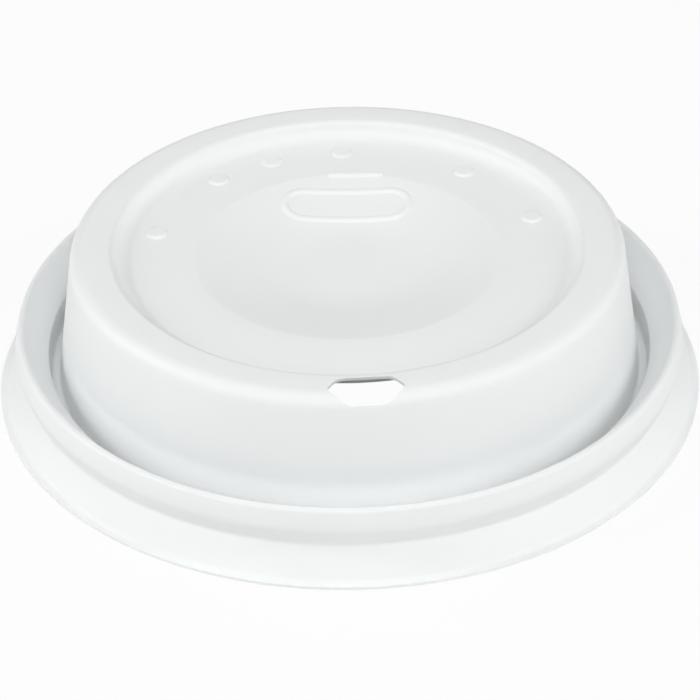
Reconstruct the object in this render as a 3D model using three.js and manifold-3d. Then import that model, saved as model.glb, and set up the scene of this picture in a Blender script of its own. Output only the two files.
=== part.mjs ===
// Sip-through lid for a hot drink cup, thermoformed in one piece from a thin sheet of white polystyrene.
// Millimetres, +Z up. The origin is on the lid's axis, in the plane of the foot that it stands on.
// The sip hole is on the -Y side, where the drinker's mouth is.

import * as THREE from "three";
import { mergeVertices } from "three/addons/utils/BufferGeometryUtils.js";
import Module from "manifold-3d";

// The sheet, and the round trimmed edge that the lid stands on.
const WALL = 0.4;
const LID_RADIUS = 48;
const FLANGE_WIDTH = 0.9;
const FLANGE_ROUND = 0.8;

// The skirt leans in from the flange to a crease that snaps under the cup's rolled rim,
// then swells out again over the rim.
const SKIRT_LEAN = 2.6;
const CREASE_HEIGHT = 4.4;
const CREASE_ROUND = 0.6;
const BULGE_DEPTH = 1.1;
const BULGE_RISE = 2.8;
const BULGE_ROUND = 2.5;

// The crest goes over the cup's rim, and its inner side slopes down into a narrow groove.
// The groove's outer wall is the plug that seals inside the cup.
const CREST_RISE = 5.6;
const CREST_INSET = 0.65;
const CREST_WIDTH = 0.8;
const CREST_OUTER_ROUND = 0.6;
const CREST_INNER_ROUND = 0.6;
const SLOPE_RUN = 3.05;
const SLOPE_DROP = 4;
const SLOPE_ROUND = 0.5;
const PLUG_LEAN = 0.3;
const GROOVE_DEPTH = 3.4;
const GROOVE_WIDTH = 1.05;
const GROOVE_ROUND = 0.45;

// The dome: a tall wall with some draft, a round shoulder and a flat land on top.
const LID_HEIGHT = 21.5;
const DOME_DRAFT_DEG = 8;
const SHOULDER_ROUND = 2;
const LAND_WIDTH = 5.5;

// The shallow well inside the land, its flat ring, and the round dish in the middle.
const WELL_DEPTH = 2.2;
const WELL_WALL_RUN = 0.8;
const WELL_EDGE_ROUND = 1;
const WELL_FOOT_ROUND = 2.2;
const RING_WIDTH = 10.1;
const DISH_DEPTH = 2.4;
const DISH_WALL_RUN = 12;
const DISH_EDGE_ROUND = 1.5;
const DISH_CENTRE_ROUND = 30;

// The sip hole through the land reaches onto the shoulder: a rounded hexagon, widest at its
// middle and narrowest at the mouth.
const SIP_WIDTH = 10.3;
const SIP_BACK_WIDTH = 7;
const SIP_FRONT_WIDTH = 5.4;
const SIP_LENGTH = 4.55;
const SIP_BACK_TO_WIDEST = 2.3;
const SIP_CORNER_ROUND = 1.1;
const SIP_EDGE_TO_WELL = 1;

// How finely round forms are cut into facets.
const FACETS_ROUND = 60;
const ARC_STEP_DEG = 32;
const CUTTER_CURVE_FACETS = 5;

// The line of the sheet's upper face, as corners from the flange's trimmed edge in to the axis.
// Each corner has its radius from the axis, its height and the round that its corner is bent to.
function sheetCorners() {
  const skirtFoot = LID_RADIUS - FLANGE_WIDTH;
  const crease = skirtFoot - SKIRT_LEAN;
  const bulge = crease + BULGE_DEPTH;
  const crestOuter = bulge - CREST_INSET;
  const crestInner = crestOuter - CREST_WIDTH;
  const crestHeight = CREASE_HEIGHT + CREST_RISE;
  const slopeFoot = crestInner - SLOPE_RUN;
  const slopeFootHeight = crestHeight - SLOPE_DROP;
  const plugFoot = slopeFoot - PLUG_LEAN;
  const grooveHeight = slopeFootHeight - GROOVE_DEPTH;
  const domeFoot = plugFoot - GROOVE_WIDTH;
  const domeLean = Math.tan(THREE.MathUtils.degToRad(DOME_DRAFT_DEG)) * (LID_HEIGHT - grooveHeight);
  const domeTop = domeFoot - domeLean;
  const wellEdge = domeTop - LAND_WIDTH;
  const ringEdge = wellEdge - WELL_WALL_RUN;
  const ringHeight = LID_HEIGHT - WELL_DEPTH;
  const dishEdge = ringEdge - RING_WIDTH;
  const dishFloor = dishEdge - DISH_WALL_RUN;
  return {
    wellEdge,
    corners: [
      [LID_RADIUS, WALL, 0],
      [skirtFoot, WALL, FLANGE_ROUND],
      [crease, CREASE_HEIGHT, CREASE_ROUND],
      [bulge, CREASE_HEIGHT + BULGE_RISE, BULGE_ROUND],
      [crestOuter, crestHeight, CREST_OUTER_ROUND],
      [crestInner, crestHeight, CREST_INNER_ROUND],
      [slopeFoot, slopeFootHeight, SLOPE_ROUND],
      [plugFoot, grooveHeight, GROOVE_ROUND],
      [domeFoot, grooveHeight, GROOVE_ROUND],
      [domeTop, LID_HEIGHT, SHOULDER_ROUND],
      [wellEdge, LID_HEIGHT, WELL_EDGE_ROUND],
      [ringEdge, ringHeight, WELL_FOOT_ROUND],
      [dishEdge, ringHeight, DISH_EDGE_ROUND],
      [dishFloor, ringHeight - DISH_DEPTH, DISH_CENTRE_ROUND],
      [0, ringHeight - DISH_DEPTH, 0],
    ],
  };
}

// Bends each corner of a line to its round and gives the line as points, each with the unit
// vector that leaves the sheet's upper face there.
function bentLine(corners) {
  const points = corners.map(([r, z]) => new THREE.Vector2(r, z));
  const upward = (along) => new THREE.Vector2(along.y, -along.x);
  const line = [];
  const add = (at, along) => line.push({ at, up: upward(along) });
  points.forEach((corner, i) => {
    const before = points[i - 1];
    const after = points[i + 1];
    if (!before) {
      add(corner, after.clone().sub(corner).normalize());
      return;
    }
    const coming = corner.clone().sub(before).normalize();
    if (!after) {
      add(corner, coming);
      return;
    }
    const going = after.clone().sub(corner).normalize();
    const turn = Math.atan2(coming.cross(going), coming.dot(going));
    const round = corners[i][2];
    const setback = round * Math.tan(Math.abs(turn) / 2);
    const start = corner.clone().addScaledVector(coming, -setback);
    const centre = start.clone().addScaledVector(upward(coming), -Math.sign(turn) * round);
    const steps = Math.max(1, Math.ceil(THREE.MathUtils.radToDeg(Math.abs(turn)) / ARC_STEP_DEG));
    for (let k = 0; k <= steps; k += 1) {
      const angle = (turn * k) / steps;
      const along = coming.clone().rotateAround(new THREE.Vector2(), angle);
      add(start.clone().rotateAround(centre, angle), along);
    }
  });
  return line;
}

// The closed section of the sheet: out along its under face, round the trimmed edge and back
// along its upper face.
function sheetSection(corners) {
  const upper = bentLine(corners);
  const under = upper.map(({ at, up }) => at.clone().addScaledVector(up, -WALL));
  under[under.length - 1].x = 0;
  return [...under.reverse(), ...upper.map(({ at }) => at)];
}

const wasm = await Module();
wasm.setup();

// A closed three.js geometry as a solid that can be cut.
function solidOf(geometry) {
  const bare = geometry.index ? geometry.toNonIndexed() : geometry.clone();
  bare.deleteAttribute("normal");
  bare.deleteAttribute("uv");
  const merged = mergeVertices(bare, 1e-4);
  const triangles = [];
  const corner = merged.index.array;
  for (let i = 0; i < corner.length; i += 3) {
    const [a, b, c] = [corner[i], corner[i + 1], corner[i + 2]];
    if (a !== b && b !== c && c !== a) triangles.push(a, b, c);
  }
  return new wasm.Manifold(
    new wasm.Mesh({
      numProp: 3,
      vertProperties: merged.attributes.position.array,
      triVerts: new Uint32Array(triangles),
    }),
  );
}

// A solid as a three.js geometry with flat facets.
function geometryOf(solid) {
  const mesh = solid.getMesh();
  const geometry = new THREE.BufferGeometry();
  geometry.setAttribute("position", new THREE.BufferAttribute(mesh.vertProperties, 3));
  geometry.setIndex(new THREE.BufferAttribute(mesh.triVerts, 1));
  const flat = geometry.toNonIndexed();
  flat.computeVertexNormals();
  return flat;
}

function revolved(section) {
  return new THREE.LatheGeometry(section, FACETS_ROUND).rotateX(Math.PI / 2);
}

// The sip hole's outline seen from above.
function sipOutline(backY) {
  const widestY = backY - SIP_BACK_TO_WIDEST;
  const frontY = backY - SIP_LENGTH;
  const corners = [
    [SIP_BACK_WIDTH / 2, backY],
    [-SIP_BACK_WIDTH / 2, backY],
    [-SIP_WIDTH / 2, widestY],
    [-SIP_FRONT_WIDTH / 2, frontY],
    [SIP_FRONT_WIDTH / 2, frontY],
    [SIP_WIDTH / 2, widestY],
  ].map(([x, y]) => new THREE.Vector2(x, y));
  const outline = new THREE.Shape();
  corners.forEach((corner, i) => {
    const before = corners[(i + corners.length - 1) % corners.length];
    const after = corners[(i + 1) % corners.length];
    const start = corner.clone().add(before.clone().sub(corner).setLength(SIP_CORNER_ROUND));
    const end = corner.clone().add(after.clone().sub(corner).setLength(SIP_CORNER_ROUND));
    if (i === 0) outline.moveTo(start.x, start.y);
    else outline.lineTo(start.x, start.y);
    outline.quadraticCurveTo(corner.x, corner.y, end.x, end.y);
  });
  outline.closePath();
  return outline;
}

// The punch goes down to where the shoulder becomes the dome's wall.
function sipCutter(wellEdge) {
  const outline = sipOutline(-(wellEdge + SIP_EDGE_TO_WELL));
  return new THREE.ExtrudeGeometry(outline, {
    depth: LID_HEIGHT,
    bevelEnabled: false,
    curveSegments: CUTTER_CURVE_FACETS,
  }).translate(0, 0, LID_HEIGHT - SHOULDER_ROUND);
}

function makeLid() {
  const { corners, wellEdge } = sheetCorners();
  const shell = solidOf(revolved(sheetSection(corners)));
  return geometryOf(shell.subtract(solidOf(sipCutter(wellEdge))));
}

const polystyrene = new THREE.MeshStandardMaterial({
  color: 0xf1f4f3,
  roughness: 0.35,
  metalness: 0,
});

const lid = new THREE.Mesh(makeLid(), polystyrene);
lid.name = "cup_lid";

const cupLid = new THREE.Group();
cupLid.add(lid);

export default cupLid;
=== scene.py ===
"""A sip-through lid for a hot drink cup, thermoformed from one sheet of white polystyrene."""

import math

import bmesh
import bpy
from mathutils import Matrix, Vector


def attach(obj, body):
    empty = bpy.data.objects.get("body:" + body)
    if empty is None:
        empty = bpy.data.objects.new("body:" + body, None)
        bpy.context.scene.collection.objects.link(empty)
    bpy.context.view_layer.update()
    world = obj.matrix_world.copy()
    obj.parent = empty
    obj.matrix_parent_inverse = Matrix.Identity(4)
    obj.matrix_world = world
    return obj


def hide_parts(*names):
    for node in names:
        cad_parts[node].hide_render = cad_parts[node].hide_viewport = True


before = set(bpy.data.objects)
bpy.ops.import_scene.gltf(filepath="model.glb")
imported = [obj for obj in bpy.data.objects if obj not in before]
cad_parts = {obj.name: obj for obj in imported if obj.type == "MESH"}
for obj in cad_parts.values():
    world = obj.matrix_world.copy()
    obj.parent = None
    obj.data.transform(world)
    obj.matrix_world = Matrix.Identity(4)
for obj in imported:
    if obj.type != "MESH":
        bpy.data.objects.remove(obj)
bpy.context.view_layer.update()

MM = 0.001

# The lid's sizes, in millimetres. First the sheet and the trimmed foot flange that it stands on.
WALL = 0.4
LID_RADIUS = 48.0
FLANGE_WIDTH = 0.9
FLANGE_ROUND = 0.8

# The skirt leans in to a crease and swells out again over the cup's rolled rim.
SKIRT_LEAN = 2.6
CREASE_HEIGHT = 4.4
CREASE_ROUND = 0.6
BULGE_DEPTH = 1.1
BULGE_RISE = 2.8
BULGE_ROUND = 2.5

# The crest, its inner slope, and the narrow groove whose outer wall is the plug in the cup.
CREST_RISE = 5.6
CREST_INSET = 0.65
CREST_WIDTH = 0.8
CREST_OUTER_ROUND = 0.6
CREST_INNER_ROUND = 0.6
SLOPE_RUN = 3.05
SLOPE_DROP = 4.0
SLOPE_ROUND = 0.5
PLUG_LEAN = 0.3
GROOVE_DEPTH = 3.4
GROOVE_WIDTH = 1.05
GROOVE_ROUND = 0.45

# The dome, its shoulder and the flat land on top.
LID_HEIGHT = 21.5
DOME_DRAFT_DEG = 8.0
SHOULDER_ROUND = 2.0
LAND_WIDTH = 5.5

# The well, its flat ring and the round dish in the middle.
WELL_DEPTH = 2.2
WELL_WALL_RUN = 0.8
WELL_EDGE_ROUND = 1.0
WELL_FOOT_ROUND = 2.2
RING_WIDTH = 10.1
DISH_DEPTH = 2.4
DISH_WALL_RUN = 12.0
DISH_EDGE_ROUND = 1.5
DISH_CENTRE_ROUND = 30.0

# The sip hole: a rounded hexagon through the land and the shoulder.
SIP_WIDTH = 10.3
SIP_BACK_WIDTH = 7.0
SIP_FRONT_WIDTH = 5.4
SIP_LENGTH = 4.55
SIP_BACK_TO_WIDEST = 2.3
SIP_CORNER_ROUND = 1.1
SIP_EDGE_TO_WELL = 1.0

# Plain raised marks that the mould's plugs press up: round pips on the flat ring, at angles
# from the back, and a short rib and a long loop on the far side of the dish. A mark's edge
# rises over MARK_EDGE, and STROKE is the width of the rib and of the loop's line.
MARK_HEIGHT = 0.28
MARK_EDGE = 0.45
PIP_CIRCLE = 26.6
PIP_ANGLES_DEG = (-74, -39, -20, 2, 42, 75)
PIP_WIDTH = 2.8
RIB_LENGTH = 7.6
RIB_BACK = 20.4
RIB_RIGHT = 2.5
LOOP_LENGTH = 18.0
LOOP_DEPTH = 6.4
LOOP_BACK = 14.2
LOOP_RIGHT = 0.8
STROKE = 0.8
DISH_MARKS_TURN_DEG = -4.0

# How finely the render's mesh follows the rounds and the marks, in steps, degrees or millimetres.
# LEAST_RUN stands in for a run of nothing, which a slope can't be divided by.
SPIN_STEPS = 288
ARC_STEP_DEG = 9.0
LONGEST_ARC = 1.0
LONGEST_STEP = 2.5
CORNER_STEPS = 8
MARK_SPLITS = 4
MARK_MESH_STEP = 0.2
FINE_ARC_STEP_DEG = 0.5
LEAST_RUN = 1e-9

# The sheet's edges are drawn sharp where two faces meet at more than this.
SHARP_EDGE_DEG = 38.0

# The sheet's look: its colours and roughness where the pigment's clouds are thin and thick, its
# IOR, and the sizes of the orange peel and of the clouds in millimetres.
SHEET_COLOURS = ("#EFF1F1", "#F2F4F4")
SHEET_ROUGHNESS = (0.48, 0.58)
SHEET_IOR = 1.59
PEEL_SIZE = 0.9
PEEL_HEIGHT = 0.006
CLOUD_SIZE = 14.0

# The sockets of a mix node when it mixes colours.
MIX_FACTOR = 0
MIX_FIRST = 6
MIX_SECOND = 7
MIX_RESULT = 2

# The photograph's view, in millimetres: where the camera stands, how long its lens is and what
# it aims at. Only its clip distances are in metres.
CAMERA_AZIMUTH_DEG = -3.3
CAMERA_ELEVATION_DEG = 34.7
CAMERA_DISTANCE = 400.0
CAMERA_ROLL_DEG = -1.0
CAMERA_LENS = 148.7
SENSOR_WIDTH = 36.0
AIM_RIGHT = 0.1
AIM_UP = 3.47
CLIP_START = 0.01
CLIP_END = 20.0

# The floor, its span in metres, and how much of the lid's shadow the camera sees on it: a faint
# one round the lid, and hardly any within HOLE_SHADOW_RADIUS, in millimetres, of the lid's axis,
# where the floor shows through the sip hole.
FLOOR_SPAN = 3.0
FLOOR_COLOUR = "#EEEEEE"
FLOOR_SHADOW_SHARE = 0.12
HOLE_SHADOW_SHARE = 0.03
HOLE_SHADOW_RADIUS = 40.0

# The studio: an even room, and square lamps that look at the lid from one distance, each as its
# azimuth and elevation in degrees, its width in metres and its watts.
ROOM_STRENGTH = 0.07
LAMP_DISTANCE = 1.2
LAMPS = {
    "front_softbox": (0, 50, 0.7, 6.1),
    "top_softbox": (0, 88, 0.9, 2.1),
    "right_softbox": (48, 25, 0.5, 2.0),
    "left_softbox": (-50, 25, 0.5, 1.6),
    "right_strip": (100, 20, 0.5, 2.9),
    "left_strip": (-106, 20, 0.5, 3.4),
    "right_lamp": (72, 38, 0.15, 1.5),
    "left_lamp": (-90, 38, 0.15, 2.3),
    "back_softbox": (180, 45, 0.9, 0.9),
}


def linear(hex_colour):
    """The linear RGBA of an sRGB hex colour."""
    parts = [int(hex_colour[i : i + 2], 16) / 255 for i in (1, 3, 5)]
    return tuple(c / 12.92 if c <= 0.04045 else ((c + 0.055) / 1.055) ** 2.4 for c in parts) + (1.0,)


def add_node(tree, kind, settings=None, inputs=None):
    """Adds a node with its settings; an input is a value, or the output socket that feeds it."""
    node = tree.nodes.new(kind)
    for name, value in (settings or {}).items():
        setattr(node, name, value)
    for name, value in (inputs or {}).items():
        if isinstance(value, bpy.types.NodeSocket):
            tree.links.new(value, node.inputs[name])
        else:
            node.inputs[name].default_value = value
    return node


def sheet_corners():
    """The upper face's corners, flange to axis, as (radius, height, round), and the well's edge."""
    skirt_foot = LID_RADIUS - FLANGE_WIDTH
    crease = skirt_foot - SKIRT_LEAN
    bulge = crease + BULGE_DEPTH
    crest_outer = bulge - CREST_INSET
    crest_inner = crest_outer - CREST_WIDTH
    crest_height = CREASE_HEIGHT + CREST_RISE
    slope_foot = crest_inner - SLOPE_RUN
    slope_foot_height = crest_height - SLOPE_DROP
    plug_foot = slope_foot - PLUG_LEAN
    groove_height = slope_foot_height - GROOVE_DEPTH
    dome_foot = plug_foot - GROOVE_WIDTH
    dome_top = dome_foot - math.tan(math.radians(DOME_DRAFT_DEG)) * (LID_HEIGHT - groove_height)
    well_edge = dome_top - LAND_WIDTH
    ring_edge = well_edge - WELL_WALL_RUN
    ring_height = LID_HEIGHT - WELL_DEPTH
    dish_edge = ring_edge - RING_WIDTH
    dish_floor = dish_edge - DISH_WALL_RUN
    corners = [
        (LID_RADIUS, WALL, 0),
        (skirt_foot, WALL, FLANGE_ROUND),
        (crease, CREASE_HEIGHT, CREASE_ROUND),
        (bulge, CREASE_HEIGHT + BULGE_RISE, BULGE_ROUND),
        (crest_outer, crest_height, CREST_OUTER_ROUND),
        (crest_inner, crest_height, CREST_INNER_ROUND),
        (slope_foot, slope_foot_height, SLOPE_ROUND),
        (plug_foot, groove_height, GROOVE_ROUND),
        (dome_foot, groove_height, GROOVE_ROUND),
        (dome_top, LID_HEIGHT, SHOULDER_ROUND),
        (well_edge, LID_HEIGHT, WELL_EDGE_ROUND),
        (ring_edge, ring_height, WELL_FOOT_ROUND),
        (dish_edge, ring_height, DISH_EDGE_ROUND),
        (dish_floor, ring_height - DISH_DEPTH, DISH_CENTRE_ROUND),
        (0.0, ring_height - DISH_DEPTH, 0),
    ]
    return corners, well_edge


def bent_line(corners, arc_step_deg=ARC_STEP_DEG):
    """The line through the corners with each bent to its round, as (point, up) pairs."""
    points = [Vector((r, z)) for r, z, _ in corners]
    line = []

    def add(at, along):
        line.append((at.copy(), Vector((along.y, -along.x))))

    add(points[0], (points[1] - points[0]).normalized())
    for before, corner, after, (_, _, bend) in zip(points, points[1:], points[2:], corners[1:-1]):
        coming = (corner - before).normalized()
        going = (after - corner).normalized()
        turn = math.atan2(coming.x * going.y - coming.y * going.x, coming.dot(going))
        start = corner - coming * bend * math.tan(abs(turn) / 2)
        straight = start - line[-1][0]
        pieces = max(1, math.ceil(straight.length / LONGEST_STEP))
        for k in range(1, pieces):
            add(line[-1][0] + straight / pieces, coming)
        up = Vector((coming.y, -coming.x))
        centre = start - up * math.copysign(bend, turn)
        by_angle = math.ceil(math.degrees(abs(turn)) / arc_step_deg)
        by_length = math.ceil(bend * abs(turn) / LONGEST_ARC)
        steps = max(2, by_angle, by_length)
        for k in range(steps + 1):
            rotation = Matrix.Rotation(turn * k / steps, 2)
            add(centre + rotation @ (start - centre), rotation @ coming)
    add(points[-1], (points[-1] - points[-2]).normalized())
    return line


def sheet_section(corners):
    """The sheet's closed section: out along its under face, round the trimmed edge, back on top."""
    upper = bent_line(corners)
    under = [at - up * WALL for at, up in upper]
    under[-1].x = 0.0
    return under[::-1] + [at for at, _ in upper]


def spun(name, section):
    """A closed mesh object made by turning a section, which starts and ends on the axis, round Z."""
    rings = section[1:-1]
    verts = [(0, 0, section[0].y * MM)]
    for k in range(SPIN_STEPS):
        angle = 2 * math.pi * k / SPIN_STEPS
        across, along = math.sin(angle), -math.cos(angle)
        verts += [(p.x * across * MM, p.x * along * MM, p.y * MM) for p in rings]
    verts.append((0, 0, section[-1].y * MM))
    count = len(rings)
    faces = []
    for k in range(SPIN_STEPS):
        here = 1 + k * count
        there = 1 + (k + 1) % SPIN_STEPS * count
        faces.append((0, there, here))
        faces += [(here + i, there + i, there + i + 1, here + i + 1) for i in range(count - 1)]
        faces.append((here + count - 1, there + count - 1, len(verts) - 1))
    mesh = bpy.data.meshes.new(name)
    mesh.from_pydata(verts, [], faces)
    made = bpy.data.objects.new(name, mesh)
    bpy.context.scene.collection.objects.link(made)
    return made


def marks():
    """The raised marks seen from above, as (start, end, offset, width).

    A mark's stroke runs at an offset round the straight line from its start to its end.
    """
    pips = []
    for angle in PIP_ANGLES_DEG:
        a = math.radians(angle)
        centre = Vector((math.sin(a), math.cos(a))) * PIP_CIRCLE
        pips.append((centre, centre, 0.0, PIP_WIDTH))
    turn = Matrix.Rotation(math.radians(DISH_MARKS_TURN_DEG), 2)
    half_rib = turn @ Vector(((RIB_LENGTH - STROKE) / 2, 0))
    rib = Vector((RIB_RIGHT, RIB_BACK))
    around = (LOOP_DEPTH - STROKE) / 2
    half_loop = turn @ Vector(((LOOP_LENGTH - STROKE) / 2 - around, 0))
    loop = Vector((LOOP_RIGHT, LOOP_BACK))
    return pips + [
        (rib - half_rib, rib + half_rib, 0.0, STROKE),
        (loop - half_loop, loop + half_loop, around, STROKE),
    ]


def depth_in_mark(at, mark):
    """How far inside a mark's outline a point lies, seen from above; less than 0 outside it."""
    start, end, offset, width = mark
    along = end - start
    share = 0.0
    if along.length > 0:
        share = min(1.0, max(0.0, (at - start).dot(along) / along.length_squared))
    return width / 2 - abs((at - start - along * share).length - offset)


def height_at(line, r):
    """The height at a radius of a line that runs inwards to the axis."""
    for out, into in zip(line[::-1][1:], line[::-1]):
        if into.x <= r <= out.x:
            return into.y + (out.y - into.y) * (r - into.x) / max(out.x - into.x, LEAST_RUN)
    return line[-1].y


def raise_marks(lid, corners):
    """Splits the mesh finely round each mark and raises both faces of the sheet there."""
    all_marks = marks()
    shape = bmesh.new()
    shape.from_mesh(lid.data)

    def depth(co):
        at = Vector((co.x, co.y)) / MM
        return max(depth_in_mark(at, mark) for mark in all_marks)

    # The dish's under face is one wall below its floor, and this height another wall below that.
    lowest = (LID_HEIGHT - WELL_DEPTH - DISH_DEPTH - 2 * WALL) * MM
    for k in range(MARK_SPLITS):
        reach = MARK_EDGE + LONGEST_STEP / 2 ** (k + 1)
        centres = [(face, face.calc_center_median()) for face in shape.faces]
        near = [face for face, at in centres if at.z > lowest and depth(at) > -reach]
        edges = {e for f in near for e in f.edges if e.calc_length() > MARK_MESH_STEP * MM}
        bmesh.ops.subdivide_edges(shape, edges=list(edges), cuts=1, use_grid_fill=True)
    # A split vertex lies on a chord of the drawn line, so it also moves out to the true curve.
    drawn = [at for at, _ in bent_line(corners)]
    true = [at for at, _ in bent_line(corners, FINE_ARC_STEP_DEG)]
    for vert in shape.verts:
        inside = depth(vert.co)
        if vert.co.z > lowest and inside > -MARK_EDGE:
            r = Vector((vert.co.x, vert.co.y)).length / MM
            share = min(1.0, max(0.0, 0.5 + inside / MARK_EDGE))
            lift = MARK_HEIGHT * share * share * (3 - 2 * share)
            vert.co.z += (lift + height_at(true, r) - height_at(drawn, r)) * MM
    shape.to_mesh(lid.data)
    shape.free()


def sip_outline(back):
    """The sip hole's outline from above, anticlockwise: a rounded hexagon, narrowest at the mouth."""
    widest = back - SIP_BACK_TO_WIDEST
    front = back - SIP_LENGTH
    corners = [
        Vector((SIP_BACK_WIDTH / 2, back)),
        Vector((-SIP_BACK_WIDTH / 2, back)),
        Vector((-SIP_WIDTH / 2, widest)),
        Vector((-SIP_FRONT_WIDTH / 2, front)),
        Vector((SIP_FRONT_WIDTH / 2, front)),
        Vector((SIP_WIDTH / 2, widest)),
    ]
    outline = []
    for i, corner in enumerate(corners):
        start = corner + (corners[i - 1] - corner).normalized() * SIP_CORNER_ROUND
        end = corner + (corners[(i + 1) % len(corners)] - corner).normalized() * SIP_CORNER_ROUND
        for k in range(CORNER_STEPS + 1):
            t = k / CORNER_STEPS
            outline.append(start * (1 - t) ** 2 + corner * 2 * t * (1 - t) + end * t**2)
    return outline


def prism(name, outline, low, high):
    """A closed upright prism on an outline."""
    count = len(outline)
    verts = [(p.x * MM, p.y * MM, z * MM) for z in (low, high) for p in outline]
    faces = [tuple(range(count))[::-1], tuple(range(count, 2 * count))]
    faces += [(i, (i + 1) % count, (i + 1) % count + count, i + count) for i in range(count)]
    mesh = bpy.data.meshes.new(name)
    mesh.from_pydata(verts, [], faces)
    made = bpy.data.objects.new(name, mesh)
    bpy.context.scene.collection.objects.link(made)
    return made


def cut(piece, tool):
    """Cuts a tool out of a piece and deletes the tool."""
    step = piece.modifiers.new("cut", "BOOLEAN")
    step.object = tool
    step.operation = "DIFFERENCE"
    step.solver = "EXACT"
    shape = bpy.data.meshes.new_from_object(piece.evaluated_get(bpy.context.evaluated_depsgraph_get()))
    piece.modifiers.clear()
    piece.data = shape
    bpy.data.objects.remove(tool)


def polystyrene():
    """White high-impact polystyrene sheet, vacuum formed over a blasted mould.

    The mould leaves a soft satin gloss with a faint orange peel, and the pigment leaves faint
    clouds in the white and in the gloss.
    """
    material = bpy.data.materials.new("white_polystyrene_sheet")
    material.use_nodes = True
    tree = material.node_tree
    shader = tree.nodes["Principled BSDF"]
    place = add_node(tree, "ShaderNodeTexCoord").outputs["Object"]
    peel = add_node(
        tree,
        "ShaderNodeTexNoise",
        None,
        {"Vector": place, "Scale": 1 / (PEEL_SIZE * MM), "Detail": 3.0, "Roughness": 0.5},
    )
    bump = add_node(
        tree,
        "ShaderNodeBump",
        None,
        {"Height": peel.outputs["Fac"], "Strength": 1.0, "Distance": PEEL_HEIGHT * MM},
    )
    tree.links.new(bump.outputs["Normal"], shader.inputs["Normal"])
    cloud = add_node(
        tree,
        "ShaderNodeTexNoise",
        None,
        {"Vector": place, "Scale": 1 / (CLOUD_SIZE * MM), "Detail": 4.0, "Roughness": 0.55},
    )
    first, second = SHEET_COLOURS
    tone = add_node(
        tree,
        "ShaderNodeMix",
        {"data_type": "RGBA"},
        {MIX_FACTOR: cloud.outputs["Fac"], MIX_FIRST: linear(first), MIX_SECOND: linear(second)},
    )
    tree.links.new(tone.outputs[MIX_RESULT], shader.inputs["Base Color"])
    smoothest, roughest = SHEET_ROUGHNESS
    gloss = add_node(
        tree,
        "ShaderNodeMapRange",
        None,
        {"Value": cloud.outputs["Fac"], "To Min": smoothest, "To Max": roughest},
    )
    tree.links.new(gloss.outputs["Result"], shader.inputs["Roughness"])
    shader.inputs["IOR"].default_value = SHEET_IOR
    return material


def build_lid():
    """The lid in one piece: the sheet spun, its marks raised and its sip hole punched."""
    corners, well_edge = sheet_corners()
    lid = spun("cup_lid_sheet", sheet_section(corners))
    raise_marks(lid, corners)
    outline = sip_outline(-(well_edge + SIP_EDGE_TO_WELL))
    cut(lid, prism("sip_punch", outline, LID_HEIGHT - SHOULDER_ROUND, 2 * LID_HEIGHT))
    lid.data.shade_smooth()
    lid.data.set_sharp_from_angle(angle=math.radians(SHARP_EDGE_DEG))
    lid.data.materials.clear()
    lid.data.materials.append(polystyrene())
    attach(lid, "root")
    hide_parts("cup_lid")


def build_floor():
    """A wide white floor that shows as plain white and keeps a faint shadow of the lid."""
    half = FLOOR_SPAN / 2
    mesh = bpy.data.meshes.new("floor")
    corners = [(-half, -half, 0), (half, -half, 0), (half, half, 0), (-half, half, 0)]
    mesh.from_pydata(corners, [], [(0, 1, 2, 3)])
    floor = bpy.data.objects.new("floor", mesh)
    bpy.context.scene.collection.objects.link(floor)
    material = bpy.data.materials.new("white_paper_floor")
    material.use_nodes = True
    tree = material.node_tree
    tree.nodes.clear()
    paper = add_node(tree, "ShaderNodeBsdfDiffuse", None, {"Color": linear(FLOOR_COLOUR)})
    glow = add_node(tree, "ShaderNodeEmission", None, {"Color": (1, 1, 1, 1), "Strength": 1.0})
    rays = add_node(tree, "ShaderNodeLightPath")
    seen = add_node(
        tree,
        "ShaderNodeMath",
        {"operation": "MAXIMUM"},
        {0: rays.outputs["Is Camera Ray"], 1: rays.outputs["Is Glossy Ray"]},
    )
    seen = add_node(
        tree,
        "ShaderNodeMath",
        {"operation": "MAXIMUM"},
        {0: seen.outputs[0], 1: rays.outputs["Is Transmission Ray"]},
    )
    place = add_node(tree, "ShaderNodeTexCoord").outputs["Object"]
    distance = add_node(tree, "ShaderNodeVectorMath", {"operation": "LENGTH"}, {0: place})
    share = add_node(
        tree,
        "ShaderNodeMapRange",
        None,
        {
            "Value": distance.outputs["Value"],
            "From Min": HOLE_SHADOW_RADIUS * MM,
            "From Max": LID_RADIUS * MM,
            "To Min": 1 - HOLE_SHADOW_SHARE,
            "To Max": 1 - FLOOR_SHADOW_SHARE,
        },
    )
    white = add_node(
        tree,
        "ShaderNodeMath",
        {"operation": "MULTIPLY"},
        {0: seen.outputs[0], 1: share.outputs["Result"]},
    )
    mix = add_node(
        tree,
        "ShaderNodeMixShader",
        None,
        {0: white.outputs[0], 1: paper.outputs[0], 2: glow.outputs[0]},
    )
    add_node(tree, "ShaderNodeOutputMaterial", None, {"Surface": mix.outputs[0]})
    mesh.materials.append(material)


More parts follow.
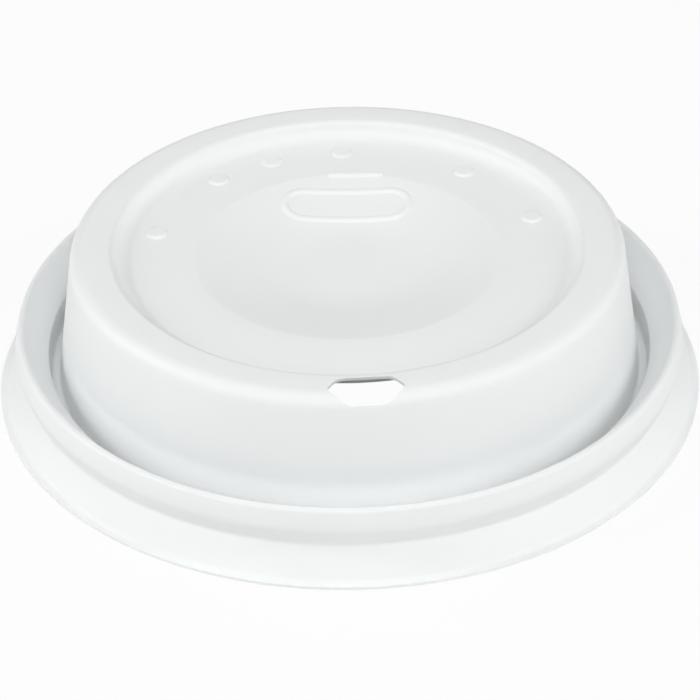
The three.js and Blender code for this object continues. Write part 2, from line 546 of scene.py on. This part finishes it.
def build_world():
    """An even pale room light, seen as white where the camera looks past the floor."""
    world = bpy.data.worlds.new("plain_room")
    world.use_nodes = True
    tree = world.node_tree
    tree.nodes.clear()
    rays = add_node(tree, "ShaderNodeLightPath")
    strength = add_node(
        tree,
        "ShaderNodeMapRange",
        None,
        {"Value": rays.outputs["Is Camera Ray"], "To Min": ROOM_STRENGTH, "To Max": 1.0},
    )
    room = add_node(
        tree,
        "ShaderNodeBackground",
        None,
        {"Color": (1, 1, 1, 1), "Strength": strength.outputs["Result"]},
    )
    add_node(tree, "ShaderNodeOutputWorld", None, {"Surface": room.outputs[0]})
    bpy.context.scene.world = world


def from_centre(azimuth, elevation, distance):
    """A point in metres at an azimuth (0 on the sip hole's side, 90 to its right) and elevation."""
    a, e = math.radians(azimuth), math.radians(elevation)
    return Vector((math.sin(a) * math.cos(e), -math.cos(a) * math.cos(e), math.sin(e))) * distance


def build_lamps():
    """The soft square lamps, each turned to look at the lid."""
    for name, (azimuth, elevation, width, watts) in LAMPS.items():
        lamp = bpy.data.lights.new(name, "AREA")
        lamp.shape = "SQUARE"
        lamp.size = width
        lamp.energy = watts
        made = bpy.data.objects.new(name, lamp)
        bpy.context.scene.collection.objects.link(made)
        made.location = from_centre(azimuth, elevation, LAMP_DISTANCE)
        made.rotation_euler = made.location.to_track_quat("Z", "Y").to_euler()


def build_camera():
    """The camera in the photograph's place, aimed a little above the foot."""
    camera = bpy.data.objects.new("camera", bpy.data.cameras.new("camera"))
    bpy.context.scene.collection.objects.link(camera)
    camera.data.sensor_width = SENSOR_WIDTH
    camera.data.lens = CAMERA_LENS
    camera.data.clip_start = CLIP_START
    camera.data.clip_end = CLIP_END
    camera.location = from_centre(CAMERA_AZIMUTH_DEG, CAMERA_ELEVATION_DEG, CAMERA_DISTANCE * MM)
    a = math.radians(CAMERA_AZIMUTH_DEG)
    aim = Vector((AIM_RIGHT * math.cos(a), AIM_RIGHT * math.sin(a), AIM_UP)) * MM
    turn = (aim - camera.location).to_track_quat("-Z", "Y").to_matrix().to_4x4()
    roll = Matrix.Rotation(math.radians(CAMERA_ROLL_DEG), 4, "Z")
    camera.matrix_world = Matrix.Translation(camera.location) @ turn @ roll
    bpy.context.scene.camera = camera


build_lid()
build_floor()
build_world()
build_lamps()
build_camera()
bpy.context.scene.view_settings.view_transform = "Standard"
